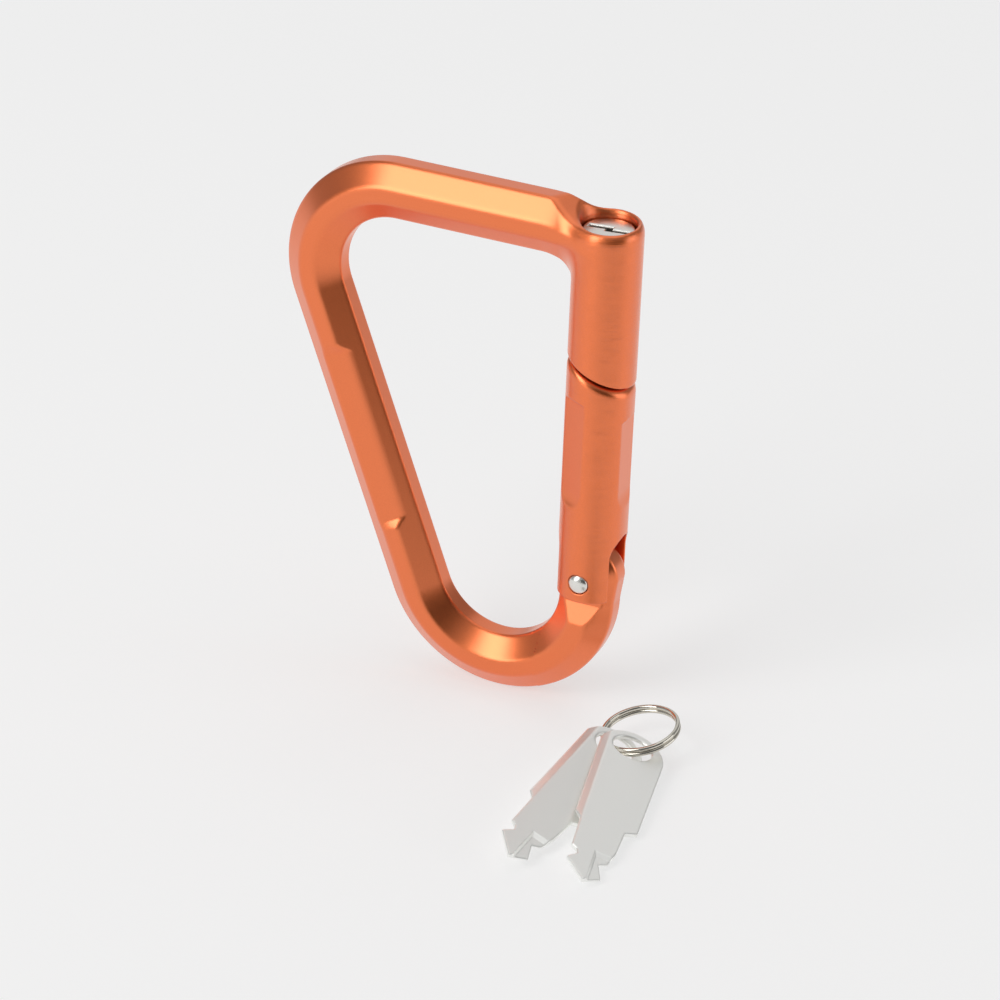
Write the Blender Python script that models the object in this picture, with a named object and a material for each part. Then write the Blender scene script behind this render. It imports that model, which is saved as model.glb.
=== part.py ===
"""Locking carabiner key ring with two keys, as an assembly of separate pieces.

Every number is in millimetres until new_object() scales its mesh to metres. The shapes are drawn in
a standing frame: the gate's axis is X = 0, Y = 0, the lowest point of the loop is Z = 0, and the loop
lies in the XZ plane with its spine at -X. The assembly then hangs from an empty that puts the strap
seat, at the middle of the top bar's inner face, on the world's origin.
"""

import math

import bmesh
import bpy
from mathutils import Matrix, Vector

MM = 0.001
GAP = 0.3  # between pieces that touch on the real object
THROUGH = 8.0  # half-length of a cutter that passes right through the bar, barrel or gate

# Loop: centreline radii and centres, and the octagonal bar's section
CORNER_CENTRE = (-42.0, 82.0)
CORNER_RADIUS = 17.0
BOTTOM_RADIUS = 18.4
BAR_REACH = 5.6  # centreline to the outer or inner side
BAR_HALF_THICKNESS = 5.05
FRONT_FLAT = 1.65  # half-width of the narrow front and back faces
SIDE_FLAT = 1.95  # half-width of the outer and inner sides
BEVEL_RUN = BAR_REACH - FRONT_FLAT
RECESS_DEPTH = 0.9
FILLET_RADIUS = 6.0
FILLET_CENTRE_X = -12.4
SCOOP_RADIUS, SCOOP_START, SCOOP_END_X = 13.0, 228, -3.4  # start in degrees
RECESS_START, RECESS_END, RECESS_RAMP = 0.175, 0.79, 0.05  # as fractions of the spine's length

# Barrel and lock
BARREL_RADIUS = 6.5
BARREL_TOP = 101.5
CUT_HEIGHT = 72.5
CUT_SLOPE = 0.41  # the slanted cut drops this much for each unit of +X
BARREL_CHAMFER = 0.6
CLEAR_BELOW, CLEAR_ABOVE = 60.0, 115.0  # levels past the barrel's two ends, for cutters
LIP_RADIUS, LIP_BOTTOM = 5.1, 97.5
BORE_RADIUS = 5.5
CORE_RADIUS, CORE_HEAD_RADIUS = 5.2, 4.8
CORE_BOTTOM, CORE_SHOULDER, CORE_TOP = 89.0, 97.2, 100.0
TANG_BOTTOM = 87.6
KEYWAY_HALF_LENGTH, KEYWAY_WIDTH, KEYWAY_STEP = 3.95, 1.3, 1.0
WAFER_HEIGHTS = (95.6, 93.2, 90.8)
WAFER_SLOT, WAFER_THICKNESS = 1.3, 0.8
SLEEVE_INNER, SLEEVE_TOP, SLEEVE_BOTTOM = 4.0, 88.7, 78.4
BOLT_RADIUS, BOLT_TOP, BOLT_STROKE = 3.7, 86.6, 4.4
BOLT_NOSE, BOLT_SHOULDER = 2.9, 83.0  # the slimmer end that enters the gate
BOLT_FLAT, BOLT_FLAT_TOP = 2.2, 83.6
BOLT_END = CUT_HEIGHT + 1.2  # on the barrel's axis; the end follows the slanted cut
CROSS_PIN_HEIGHT, CROSS_PIN_RADIUS, CROSS_PIN_HALF_LENGTH = 85.1, 0.8, 4.9
CAM_SLOT_RADIUS, CAM_SLOT_STEPS = 1.35, 12
CORE_TURN = math.radians(90)
GUIDE_TOP, GUIDE_BOTTOM = 78.1, CUT_HEIGHT + 1.5

# Gate and hinge
PIVOT_HEIGHT = 29.2
GATE_BOTTOM = 25.3
GATE_TOP = CUT_HEIGHT - 0.6
GATE_CLEAR_BELOW, GATE_CLEAR_ABOVE = 20.0, 90.0  # levels past the gate's two ends, for cutters
GATE_FLAT_DISTANCE, GATE_FLAT_BOTTOM = 5.79, 46.6
GATE_FLATS = ((0, 63.0), (120, 66.6), (240, 66.6))  # direction in degrees, top height
SLOT_HALF_WIDTH, SLOT_CROWN = 3.7, 34.6
TONGUE_HALF_THICKNESS = 3.35
SHOULDER_TOP, SHOULDER_FOOT = 22.45, 19.3
STRIKE_RADIUS, STRIKE_INNER, STRIKE_BOTTOM = 4.6, 4.0, 65.2
STRIKE_FLOOR, STRIKE_DRAIN = 66.0, 0.6
RIVET_RADIUS, RIVET_HEAD_RADIUS = 1.15, 1.96
RIVET_SEAT, RIVET_DOME = 5.9, 7.0
PLUNGER_RADIUS, PLUNGER_BORE = 1.95, 2.25
CAM_LOW, CAM_RISE, CAM_ANGLE = 5.3, 1.1, 28.0
PLUNGER_TIP = PIVOT_HEIGHT + CAM_LOW + GAP
PLUNGER_SHOULDER, SPIGOT_TOP = 43.0, 45.5
SPRING_TOP, PLUNGER_BORE_TOP = 58.0, 58.4

# Keys and split ring, lying loose on the surface that the loop stands on
KEY_THICKNESS = 1.0
KEY_EYE = (3.1, 3.8)  # half-length along the key, half-width
KEY_HEAD_CENTRE, KEY_HEAD_RADIUS = (2.2, -0.2), 6.75
KEYS = (("key_1", (17.79, -18.36, 4.5), (-77.65, 4.0, -17.6)),  # eye's centre; heading, pitch and roll
        ("key_2", (14.14, -18.53, 3.85), (-92.2, 1.2, -20.9)))
RING_CENTRE, RING_RADIUS = (16.68, -11.84, 4.88), 7.23
RING_TILT, RING_RISE_DIRECTION = 13.5, 30.6
RING_WIRE, RING_PITCH = 0.42, 0.92
RING_END = math.radians(85)  # where the wire's two ends lie, away from the keys

SEAT = (-25.0, 0.0, CORNER_CENTRE[1] + CORNER_RADIUS - BAR_REACH)

ORANGE = (0.83, 0.21, 0.06)
STEEL = (0.62, 0.61, 0.59)
NICKEL = (0.72, 0.70, 0.66)
BRASS = (0.70, 0.52, 0.22)
BLACK_STEEL = (0.10, 0.10, 0.11)


def clear_scene():
    for obj in list(bpy.data.objects):
        bpy.data.objects.remove(obj, do_unlink=True)


def make_material(name, colour, roughness, metallic=1.0):
    material = bpy.data.materials.new(name)
    material.use_nodes = True
    shader = material.node_tree.nodes["Principled BSDF"]
    shader.inputs["Base Color"].default_value = (*colour, 1.0)
    shader.inputs["Roughness"].default_value = roughness
    shader.inputs["Metallic"].default_value = metallic
    return material


def make_empty(name, place=(0, 0, 0), parent=None):
    """An empty at a place of the standing frame, in millimetres."""
    empty = bpy.data.objects.new(name, None)
    bpy.context.scene.collection.objects.link(empty)
    set_parent(empty, parent, place)
    return empty


def set_parent(obj, parent, place):
    obj["place"] = tuple(place)
    origin = parent["place"] if parent else (0, 0, 0)
    obj.parent = parent
    obj.location = [(a - b) * MM for a, b in zip(place, origin)]


def new_object(name, bm, parent, place=(0, 0, 0), material=None):
    """An object from a mesh drawn in the standing frame, with its own origin at place."""
    bmesh.ops.translate(bm, verts=bm.verts, vec=[-c for c in place])
    bmesh.ops.scale(bm, verts=bm.verts, vec=(MM, MM, MM))
    bmesh.ops.recalc_face_normals(bm, faces=bm.faces)
    mesh = bpy.data.meshes.new(name)
    bm.to_mesh(mesh)
    bm.free()
    mesh.shade_smooth()
    mesh.set_sharp_from_angle(angle=math.radians(30))
    obj = bpy.data.objects.new(name, mesh)
    bpy.context.scene.collection.objects.link(obj)
    set_parent(obj, parent, place)
    if material:
        mesh.materials.append(make_material(name + "_finish", *material))
    return obj


def boolean(target, name, bm, operation="DIFFERENCE"):
    """Joins or cuts the target with a hidden helper drawn in the standing frame."""
    helper = new_object(f"{target.name}_{name}", bm, target.parent)
    helper.location = [-c * MM for c in (target.parent["place"] if target.parent else (0, 0, 0))]
    helper.hide_render = True
    helper.display_type = "WIRE"
    modifier = target.modifiers.new(name, "BOOLEAN")
    modifier.operation = operation
    modifier.object = helper
    modifier.solver = "EXACT"


def loft(rings, closed=False):
    """Skins a list of rings that have the same number of points."""
    bm = bmesh.new()
    rows = [[bm.verts.new(point) for point in ring] for ring in rings]
    count = len(rows[0])
    pairs = list(zip(rows, rows[1:])) + ([(rows[-1], rows[0])] if closed else [])
    for first, second in pairs:
        for i in range(count):
            j = (i + 1) % count
            bm.faces.new((first[i], first[j], second[j], second[i]))
    if not closed:
        bm.faces.new(rows[0])
        bm.faces.new(rows[-1])
    return bm


def turned(profile, sides=48, ring=False):
    """A solid of revolution about Z from (radius, height) points, capped, or closed as a ring."""
    angles = [2 * math.pi * i / sides for i in range(sides)]
    rings = [[(r * math.cos(a), r * math.sin(a), z) for a in angles] for r, z in profile]
    return loft(rings, closed=ring)


def prism(outline, low, high, axis="Z"):
    """An outline pushed from low to high along an axis; the outline's points are the other two, in order."""
    def point(a, b, c):
        return {"X": (c, a, b), "Y": (a, c, b), "Z": (a, b, c)}[axis]
    return loft([[point(a, b, c) for a, b in outline] for c in (low, high)])


def box(low, high):
    outline = [(low[0], low[1]), (high[0], low[1]), (high[0], high[1]), (low[0], high[1])]
    return prism(outline, low[2], high[2])


def rod(radius, low, high, centre, axis="Y", sides=32):
    """A round bar along an axis; centre holds its other two coordinates."""
    circle = [(centre[0] + radius * math.cos(2 * math.pi * i / sides),
               centre[1] + radius * math.sin(2 * math.pi * i / sides)) for i in range(sides)]
    return prism(circle, low, high, axis)


def arc(centre, radius, start, end, steps):
    """Points of an arc, angles in degrees, both ends included."""
    angles = [math.radians(start + (end - start) * i / steps) for i in range(steps + 1)]
    return [(centre[0] + radius * math.cos(a), centre[1] + radius * math.sin(a)) for a in angles]


def tube(points, radius, sides):
    """A round wire along points, with flat ends."""
    rings = []
    side = None
    for i, point in enumerate(points):
        ahead = points[min(i + 1, len(points) - 1)]
        behind = points[max(i - 1, 0)]
        along = (ahead - behind).normalized()
        if side is None:
            side = along.orthogonal()
        side = (side - along * side.dot(along)).normalized()
        up = along.cross(side)
        rings.append([point + radius * (math.cos(a) * side + math.sin(a) * up)
                      for a in (2 * math.pi * k / sides for k in range(sides))])
    return loft(rings)


def helix(radius, low, high, turns, per_turn, start=0.0):
    count = round(turns * per_turn)
    points = []
    for i in range(count + 1):
        angle = start + 2 * math.pi * turns * i / count
        height = low + (high - low) * i / count
        points.append(Vector((radius * math.cos(angle), radius * math.sin(angle), height)))
    return points


def slant(bm, height):
    """Tilts the vertices at a height to lie parallel to the slanted cut."""
    for vert in bm.verts:
        if abs(vert.co.z - height) < 1e-4:
            vert.co.z -= CUT_SLOPE * vert.co.x
    return bm


def loop_path():
    """The loop's centreline as (x, z, outward x, outward z, recess 0 to 1) stations."""
    bottom_centre = (-BOTTOM_RADIUS, BOTTOM_RADIUS + BAR_REACH)
    run = Vector(bottom_centre) - Vector(CORNER_CENTRE)
    offset = math.acos((CORNER_RADIUS - BOTTOM_RADIUS) / run.length)
    normal_angle = math.degrees(math.atan2(run.y, run.x) - offset) % 360
    normal = (math.cos(math.radians(normal_angle)), math.sin(math.radians(normal_angle)))
    stations = [(x, CORNER_CENTRE[1] + CORNER_RADIUS, 0.0, 1.0, 0.0) for x in (-3.2, -22.0)]
    for i in range(15):
        angle = math.radians(90 + (normal_angle - 90) * i / 14)
        out = (math.cos(angle), math.sin(angle))
        stations.append((CORNER_CENTRE[0] + CORNER_RADIUS * out[0],
                         CORNER_CENTRE[1] + CORNER_RADIUS * out[1], *out, 0.0))
    start = Vector(stations[-1][:2])
    end = Vector(bottom_centre) + BOTTOM_RADIUS * Vector(normal)
    for part, recess in ((RECESS_START, 0), (RECESS_START + RECESS_RAMP, 1), (RECESS_END - RECESS_RAMP, 1),
                         (RECESS_END, 0)):
        point = start.lerp(end, part)
        stations.append((point.x, point.y, *normal, float(recess)))
    for i in range(19):
        angle = math.radians(normal_angle + (360 - normal_angle) * i / 18)
        out = (math.cos(angle), math.sin(angle))
        stations.append((bottom_centre[0] + BOTTOM_RADIUS * out[0], bottom_centre[1] + BOTTOM_RADIUS * out[1],
                         *out, 0.0))
    return stations


def bar_section(recess):
    """The bar's octagon as (outward, y) points; the recess lowers and so widens its front and back faces."""
    depth = RECESS_DEPTH * recess
    flat = FRONT_FLAT + depth * BEVEL_RUN / (BAR_HALF_THICKNESS - SIDE_FLAT)
    face = BAR_HALF_THICKNESS - depth
    return [(BAR_REACH, -SIDE_FLAT), (flat, -face), (-flat, -face), (-BAR_REACH, -SIDE_FLAT),
            (-BAR_REACH, SIDE_FLAT), (-flat, face), (flat, face), (BAR_REACH, SIDE_FLAT)]


def loop_bar():
    rings = []
    for x, z, out_x, out_z, recess in loop_path():
        rings.append([(x + out_x * r, y, z + out_z * r) for r, y in bar_section(recess)])
    return loft(rings)


def inner_fillet():
    """The web that runs from the top bar's inner side into the barrel, with the bar's bevels."""
    centre = (FILLET_CENTRE_X, SEAT[2] - FILLET_RADIUS)
    thickness = BAR_HALF_THICKNESS - 0.03  # just inside the bar's faces, so that the union stays clean
    depth = BAR_REACH + 1.0
    rings = []
    for x, z in arc(centre, FILLET_RADIUS, 92, 0, 7):
        normal = Vector((x - centre[0], z - centre[1])).normalized()
        section = ((-0.02, -SIDE_FLAT), (BEVEL_RUN, -thickness), (depth, -thickness),
                   (depth, thickness), (BEVEL_RUN, thickness), (-0.02, SIDE_FLAT))
        rings.append([(x + normal.x * d, y, z + normal.y * d) for d, y in section])
    return loft(rings)


def scoop():
    """What is taken off the top bar so that it dips into the barrel's rim."""
    floor = BARREL_TOP + 0.02
    curve = arc((SCOOP_END_X, floor + SCOOP_RADIUS), SCOOP_RADIUS, SCOOP_START, 270, 8)
    far = BARREL_RADIUS + 2.5
    outline = curve + [(far, floor), (far, CLEAR_ABOVE), (curve[0][0], CLEAR_ABOVE)]
    return prism(outline, -THROUGH, THROUGH, "Y")


def tongue():
    """The tongue in the gate's slot; its crown is the cam that the plunger rides on."""
    outline = [(5.45, 20.0), (5.75, 24.5)]
    for angle in range(-105, 81, 8):
        if angle < -40:
            radius = 6.3
        elif angle < 0:
            radius = CAM_LOW + 1.0 * (math.sin(math.radians(-angle * 90 / 40))) ** 2
        else:
            radius = CAM_LOW + CAM_RISE * min(angle / CAM_ANGLE, 1.0)
        if angle > 48:
            radius -= 0.6 * (angle - 48) / 32
        a = math.radians(angle)
        outline.append((-radius * math.sin(a), PIVOT_HEIGHT + radius * math.cos(a)))
    outline += [(-5.55, 24.0), (-5.4, 20.5)]
    thickness = TONGUE_HALF_THICKNESS - 0.01
    return prism(outline, -thickness, thickness, "Y")


def shoulder(side):
    """The sloped step where the bar narrows to the tongue, on one side."""
    slope = (SHOULDER_TOP - SHOULDER_FOOT) / (BAR_HALF_THICKNESS - TONGUE_HALF_THICKNESS)
    reach = 7.0
    low = SHOULDER_TOP - slope * (reach - TONGUE_HALF_THICKNESS)
    outline = [(side * TONGUE_HALF_THICKNESS, SHOULDER_TOP), (side * reach, low), (side * reach, 40.0),
               (side * TONGUE_HALF_THICKNESS, 40.0)]
    return prism(outline, -THROUGH, THROUGH, "X")


def build_frame(root):
    frame = new_object("frame", loop_bar(), root, material=(ORANGE, 0.42))
    boolean(frame, "front_shoulder", shoulder(-1))
    boolean(frame, "back_shoulder", shoulder(1))
    boolean(frame, "tongue", tongue(), "UNION")
    barrel = turned([(BARREL_RADIUS, CUT_HEIGHT), (BARREL_RADIUS, BARREL_TOP - BARREL_CHAMFER),
                     (BARREL_RADIUS - BARREL_CHAMFER, BARREL_TOP)])
    boolean(frame, "barrel", slant(barrel, CUT_HEIGHT), "UNION")
    boolean(frame, "fillet", inner_fillet(), "UNION")
    boolean(frame, "scoop", scoop())
    bore = [(BORE_RADIUS, CLEAR_BELOW), (BORE_RADIUS, LIP_BOTTOM), (LIP_RADIUS, LIP_BOTTOM),
            (LIP_RADIUS, CLEAR_ABOVE)]
    boolean(frame, "bore", turned(bore))
    boolean(frame, "pivot_hole", rod(RIVET_RADIUS + GAP, -THROUGH, THROUGH, (0, PIVOT_HEIGHT), sides=24))


def keyway(low, high):
    """The Z-shaped slot: two legs side by side, joined by a step at the middle."""
    half, width, step = KEYWAY_HALF_LENGTH, KEYWAY_WIDTH, KEYWAY_STEP
    top = (width + step) / 2
    outline = [(-half, top - width), (-width / 2, top - width), (-width / 2, -top), (half, -top),
               (half, width - top), (width / 2, width - top), (width / 2, top), (-half, top)]
    return prism(outline, low, high)


def build_core(parent):
    """The turning plug, its wafers and their springs."""
    place = (0, 0, CORE_BOTTOM)
    head = [(CORE_RADIUS, CORE_BOTTOM), (CORE_RADIUS, CORE_SHOULDER), (CORE_HEAD_RADIUS, CORE_SHOULDER),
            (CORE_HEAD_RADIUS, CORE_TOP - 0.2), (CORE_HEAD_RADIUS - 0.2, CORE_TOP)]
    core = new_object("lock_core", turned(head, 40), parent, place, (NICKEL, 0.3))
    boolean(core, "tang", box((-4.9, -1.1, TANG_BOTTOM), (4.9, 1.1, CORE_BOTTOM + 0.5)), "UNION")
    boolean(core, "keyway", keyway(CORE_BOTTOM + 0.9, CORE_TOP + 1))
    for number, height in enumerate(WAFER_HEIGHTS, 1):
        low, high = height - WAFER_SLOT / 2, height + WAFER_SLOT / 2
        slot = [(-5.6, -2.05), (5.6, -2.05), (5.6, 2.05), (2.5, 2.05), (2.5, 3.3), (-1.6, 3.3), (-1.6, 2.05),
                (-5.6, 2.05)]
        boolean(core, f"wafer_slot_{number}", prism(slot, low, high))
        build_wafer(number, height, parent)


def build_wafer(number, height, parent):
    """A thin plate with a window for the key, and a lug that its spring pushes."""
    place = (0, 0, height)
    low, high = height - WAFER_THICKNESS / 2, height + WAFER_THICKNESS / 2
    outline = [(-4.75, -1.7), (4.75, -1.7), (4.75, 1.7), (-0.5, 1.7), (-0.5, 2.9), (-1.3, 2.9), (-1.3, 1.7),
               (-4.75, 1.7)]
    wafer = new_object(f"wafer_{number}", prism(outline, low, high), parent, place, (BRASS, 0.35))
    boolean(wafer, "window", box((-4.1, -1.25, low - 1), (4.1, 1.25, high + 1)))
    wire = [Vector((p.z, 2.68 + p.x, height + p.y)) for p in helix(0.42, -0.1, 2.1, 4, 9)]
    new_object(f"wafer_spring_{number}", tube(wire, 0.09, 5), parent, place, (STEEL, 0.3))


def build_sleeve(parent):
    """The cam sleeve: the core's tang turns it, and its helical slots push the cross pin down."""
    place = (0, 0, SLEEVE_BOTTOM)
    wall = [(CORE_RADIUS, SLEEVE_BOTTOM), (CORE_RADIUS, SLEEVE_TOP), (SLEEVE_INNER, SLEEVE_TOP),
            (SLEEVE_INNER, SLEEVE_BOTTOM)]
    sleeve = new_object("cam_sleeve", turned(wall, 40, ring=True), parent, place, (STEEL, 0.35))
    boolean(sleeve, "tang_notch", box((-6, -1.4, TANG_BOTTOM - GAP), (6, 1.4, SLEEVE_TOP + 1)))
    middle = (SLEEVE_INNER + CORE_RADIUS) / 2
    for number, start in ((1, 0.0), (2, math.pi)):
        path = []
        for i in range(CAM_SLOT_STEPS + 1):
            part = i / CAM_SLOT_STEPS
            angle = start - CORE_TURN * part
            path.append(Vector((middle * math.cos(angle), middle * math.sin(angle),
                                CROSS_PIN_HEIGHT - BOLT_STROKE * part)))
        boolean(sleeve, f"cam_slot_{number}", capsule(path, CAM_SLOT_RADIUS, 12))


def capsule(points, radius, sides):
    """A tube along points with blunt tapered ends, each 0.9 of a radius past its last point."""
    first = points[0] + (points[0] - points[1]).normalized() * radius * 0.9
    last = points[-1] + (points[-1] - points[-2]).normalized() * radius * 0.9
    bm = tube([first] + points + [last], radius, sides)
    ordered = list(bm.verts)
    for group, tip in ((ordered[:sides], first), (ordered[-sides:], last)):
        for vert in group:
            vert.co = tip.lerp(vert.co, 0.45)
    return bm


def build_bolt(parent):
    """The lock bolt and its cross pin, which move down together."""
    place = (0, 0, CROSS_PIN_HEIGHT)
    body = [(BOLT_NOSE, BOLT_END), (BOLT_NOSE, BOLT_SHOULDER), (BOLT_RADIUS, BOLT_SHOULDER),
            (BOLT_RADIUS, BOLT_TOP - 0.4), (BOLT_RADIUS - 0.4, BOLT_TOP)]
    bolt = new_object("lock_bolt", slant(turned(body, 40), BOLT_END), parent, place, (STEEL, 0.3))
    for name, side in (("left_flat", -1), ("right_flat", 1)):
        ends = sorted((side * BOLT_FLAT, side * 5.0))
        boolean(bolt, name, box((-5, ends[0], CLEAR_BELOW), (5, ends[1], BOLT_FLAT_TOP)))
    boolean(bolt, "pin_hole", rod(CROSS_PIN_RADIUS + GAP, -6, 6, (0, CROSS_PIN_HEIGHT), "X", 20))
    pin = rod(CROSS_PIN_RADIUS, -CROSS_PIN_HALF_LENGTH, CROSS_PIN_HALF_LENGTH, (0, CROSS_PIN_HEIGHT), "X", 20)
    new_object("bolt_cross_pin", pin, parent, place, (BLACK_STEEL, 0.35))


def build_guide(root):
    """The bush pressed into the barrel's mouth; its flats stop the bolt from turning."""
    solid = turned([(CORE_RADIUS, GUIDE_BOTTOM), (CORE_RADIUS, GUIDE_TOP)], 40)
    guide = new_object("bolt_guide", slant(solid, GUIDE_BOTTOM), root, material=(BRASS, 0.3))
    flat, radius = BOLT_FLAT + GAP, BOLT_NOSE + GAP
    start = math.degrees(math.asin(flat / radius))
    hole = arc((0, 0), radius, -start, start, 10) + arc((0, 0), radius, 180 - start, 180 + start, 10)
    boolean(guide, "hole", prism(hole, CLEAR_BELOW, CLEAR_ABOVE))


def build_gate(parent):
    place = (0, 0, PIVOT_HEIGHT)
    body = turned([(BARREL_RADIUS, GATE_BOTTOM), (BARREL_RADIUS, GATE_TOP)])
    gate = new_object("gate", slant(body, GATE_TOP), parent, place, (ORANGE, 0.42))
    for direction, top in GATE_FLATS:
        outline = [(GATE_FLAT_DISTANCE, GATE_FLAT_BOTTOM), (8.8, GATE_FLAT_BOTTOM - 3), (8.8, top + 3),
                   (GATE_FLAT_DISTANCE, top)]
        cutter = prism(outline, -4.5, 4.5, "Y")
        turn = Matrix.Rotation(math.radians(direction), 3, "Z")
        bmesh.ops.rotate(cutter, verts=cutter.verts, matrix=turn)
        boolean(gate, f"grip_flat_{direction}", cutter)
    drop = PIVOT_HEIGHT - GATE_BOTTOM
    end = math.degrees(math.asin(drop / BARREL_RADIUS))
    for name, side in (("left_heel", -1), ("right_heel", 1)):
        curve = arc((0, PIVOT_HEIGHT), BARREL_RADIUS, 0, -end - 4, 8)
        outline = [(THROUGH, PIVOT_HEIGHT)] + curve
        outline += [(curve[-1][0], GATE_CLEAR_BELOW), (THROUGH, GATE_CLEAR_BELOW)]
        boolean(gate, name, prism([(side * x, z) for x, z in outline], -THROUGH, THROUGH, "Y"))
    slot = [(-SLOT_HALF_WIDTH, GATE_CLEAR_BELOW), (SLOT_HALF_WIDTH, GATE_CLEAR_BELOW)]
    slot += arc((0, SLOT_CROWN), SLOT_HALF_WIDTH, 0, 180, 14)
    boolean(gate, "slot", prism(slot, -THROUGH, THROUGH, "X"))
    bore = turned([(PLUNGER_BORE, GATE_CLEAR_BELOW), (PLUNGER_BORE, PLUNGER_BORE_TOP)], 24)
    boolean(gate, "plunger_bore", bore)
    strike_hole = [(STRIKE_RADIUS + GAP, STRIKE_BOTTOM - GAP), (STRIKE_RADIUS + GAP, GATE_CLEAR_ABOVE)]
    boolean(gate, "strike_bore", turned(strike_hole, 40))
    boolean(gate, "rivet_hole", rod(RIVET_RADIUS + GAP, -THROUGH, THROUGH, (0, PIVOT_HEIGHT), sides=24))
    for name, ends in (("front_spotface", (-9, -RIVET_SEAT)), ("back_spotface", (RIVET_SEAT, 9))):
        boolean(gate, name, rod(RIVET_HEAD_RADIUS + GAP, *ends, (0, PIVOT_HEIGHT), sides=24))


def build_strike(parent):
    """The cup in the gate's nose that the bolt drops into."""
    place = (0, 0, PIVOT_HEIGHT)
    rim = GATE_TOP - GAP
    profile = [(STRIKE_RADIUS, STRIKE_BOTTOM), (STRIKE_RADIUS, rim), (STRIKE_INNER, rim),
               (STRIKE_INNER, STRIKE_FLOOR), (STRIKE_DRAIN, STRIKE_FLOOR), (STRIKE_DRAIN, STRIKE_BOTTOM)]
    new_object("gate_strike", slant(turned(profile, 40, ring=True), rim), parent, place, (STEEL, 0.35))


def build_rivet(parent):
    """The hinge rivet, with a domed head at each end."""
    place = (0, 0, PIVOT_HEIGHT)
    seat = RIVET_SEAT + GAP
    rise = RIVET_DOME - seat
    dome = [(RIVET_HEAD_RADIUS * math.cos(a), seat + rise * math.sin(a))
            for a in (math.radians(15 * i) for i in range(6))]
    half = [(RIVET_RADIUS, seat)] + dome
    profile = [(r, -y) for r, y in reversed(half)] + half
    bm = turned(profile, 28)
    bmesh.ops.rotate(bm, verts=bm.verts, matrix=Matrix.Rotation(math.radians(90), 3, "X"))
    bmesh.ops.translate(bm, verts=bm.verts, vec=place)
    new_object("gate_rivet", bm, parent, place, (NICKEL, 0.2))


def build_plunger(gate, slider):
    """The plunger that presses on the tongue's cam, and the spring behind it."""
    tip = [(PLUNGER_RADIUS * math.sin(a), PLUNGER_TIP + 1.2 * (1 - math.cos(a)))
           for a in (math.radians(15 * i) for i in range(1, 7))]
    profile = tip + [(PLUNGER_RADIUS, PLUNGER_SHOULDER), (1.2, PLUNGER_SHOULDER), (1.2, SPIGOT_TOP)]
    new_object("gate_plunger", turned(profile, 24), slider, slider["place"], (STEEL, 0.3))
    low, high = PLUNGER_SHOULDER + GAP + 0.25, SPRING_TOP - 0.25
    wire = tube(helix(1.68, low, high, 9, 12), 0.22, 6)
    new_object("gate_spring", wire, gate, (0, 0, PIVOT_HEIGHT), (STEEL, 0.3))


def key_outline():
    """The key's outline from its eye: +X runs to the tip, +Y is its right-hand side seen from above."""
    near = arc(KEY_HEAD_CENTRE, KEY_HEAD_RADIUS, 180, 90, 7)
    blade = [(23.6, 5.9), (24.8, 3.7), (31.5, 3.3), (34.6, 2.5), (35.6, 1.0), (39.3, 2.2), (41.5, -1.0),
             (36.9, -5.0), (35.1, -3.4), (34.0, -3.8), (33.2, -4.9), (25.0, -5.0), (23.2, -6.3)]
    far = arc(KEY_HEAD_CENTRE, KEY_HEAD_RADIUS, 244.6, 180, 5)[:-1]
    return near + blade + far


def build_key(name, eye, angles, parent):
    """A flat key, turned by its heading, pitch and roll about its eye."""
    heading, pitch, roll = (math.radians(a) for a in angles)
    half = KEY_THICKNESS / 2
    pivot = make_empty(name + "_swing", eye, parent)
    turn = Matrix.Rotation(heading, 3, "Z") @ Matrix.Rotation(pitch, 3, "Y") @ Matrix.Rotation(roll, 3, "X")
    plate = prism(key_outline(), -half, half)
    eye_outline = [(KEY_EYE[0] * math.cos(a), KEY_EYE[1] * math.sin(a))
                   for a in (2 * math.pi * i / 28 for i in range(28))]
    hole = prism(eye_outline, -3, 3)
    for bm in (plate, hole):
        bmesh.ops.transform(bm, verts=bm.verts, matrix=Matrix.Translation(eye) @ turn.to_4x4())
    key = new_object(name, plate, pivot, eye, (NICKEL, 0.3))
    boolean(key, "eye", hole)


def build_split_ring(parent):
    """Two turns of wire side by side, tilted so that they pass through both keys' eyes."""
    coil = helix(RING_RADIUS, -RING_PITCH, RING_PITCH, 2, 44, RING_END)
    rise = math.radians(RING_RISE_DIRECTION)
    axis = Vector((math.sin(rise), -math.cos(rise), 0))
    turn = Matrix.Rotation(math.radians(RING_TILT), 3, axis)
    points = [turn @ p + Vector(RING_CENTRE) for p in coil]
    new_object("split_ring", tube(points, RING_WIRE, 8), parent, RING_CENTRE, (NICKEL, 0.15))


def build_all():
    clear_scene()
    root = make_empty("carabiner", SEAT)
    root.location = (0, 0, 0)
    build_frame(root)
    build_guide(root)
    core = make_empty("core_axis", (0, 0, CORE_BOTTOM), root)
    build_core(core)
    build_sleeve(core)
    bolt = make_empty("bolt_slide", (0, 0, CROSS_PIN_HEIGHT), root)
    build_bolt(bolt)
    gate = make_empty("gate_axis", (0, 0, PIVOT_HEIGHT), root)
    build_gate(gate)
    build_strike(gate)
    build_rivet(gate)
    slider = make_empty("plunger_slide", (0, 0, PLUNGER_TIP), gate)
    build_plunger(gate, slider)
    key_set = make_empty("key_set", RING_CENTRE, root)
    build_split_ring(key_set)
    for name, eye, angles in KEYS:
        build_key(name, eye, angles, key_set)


build_all()
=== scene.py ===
"""Looks for the locking carabiner key ring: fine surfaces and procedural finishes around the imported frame.

Every length is in millimetres of the standing frame until place() puts a piece in the row frame: the gate's
axis is X = 0, Y = 0, the loop's lowest point is Z = 0, and the loop lies in the XZ plane, its spine at -X.
The large pieces are solids of rounded distance functions, meshed by surface_mesh().
"""
import math

import bmesh
import bpy
import numpy as np
from mathutils import Matrix, Vector


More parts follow.
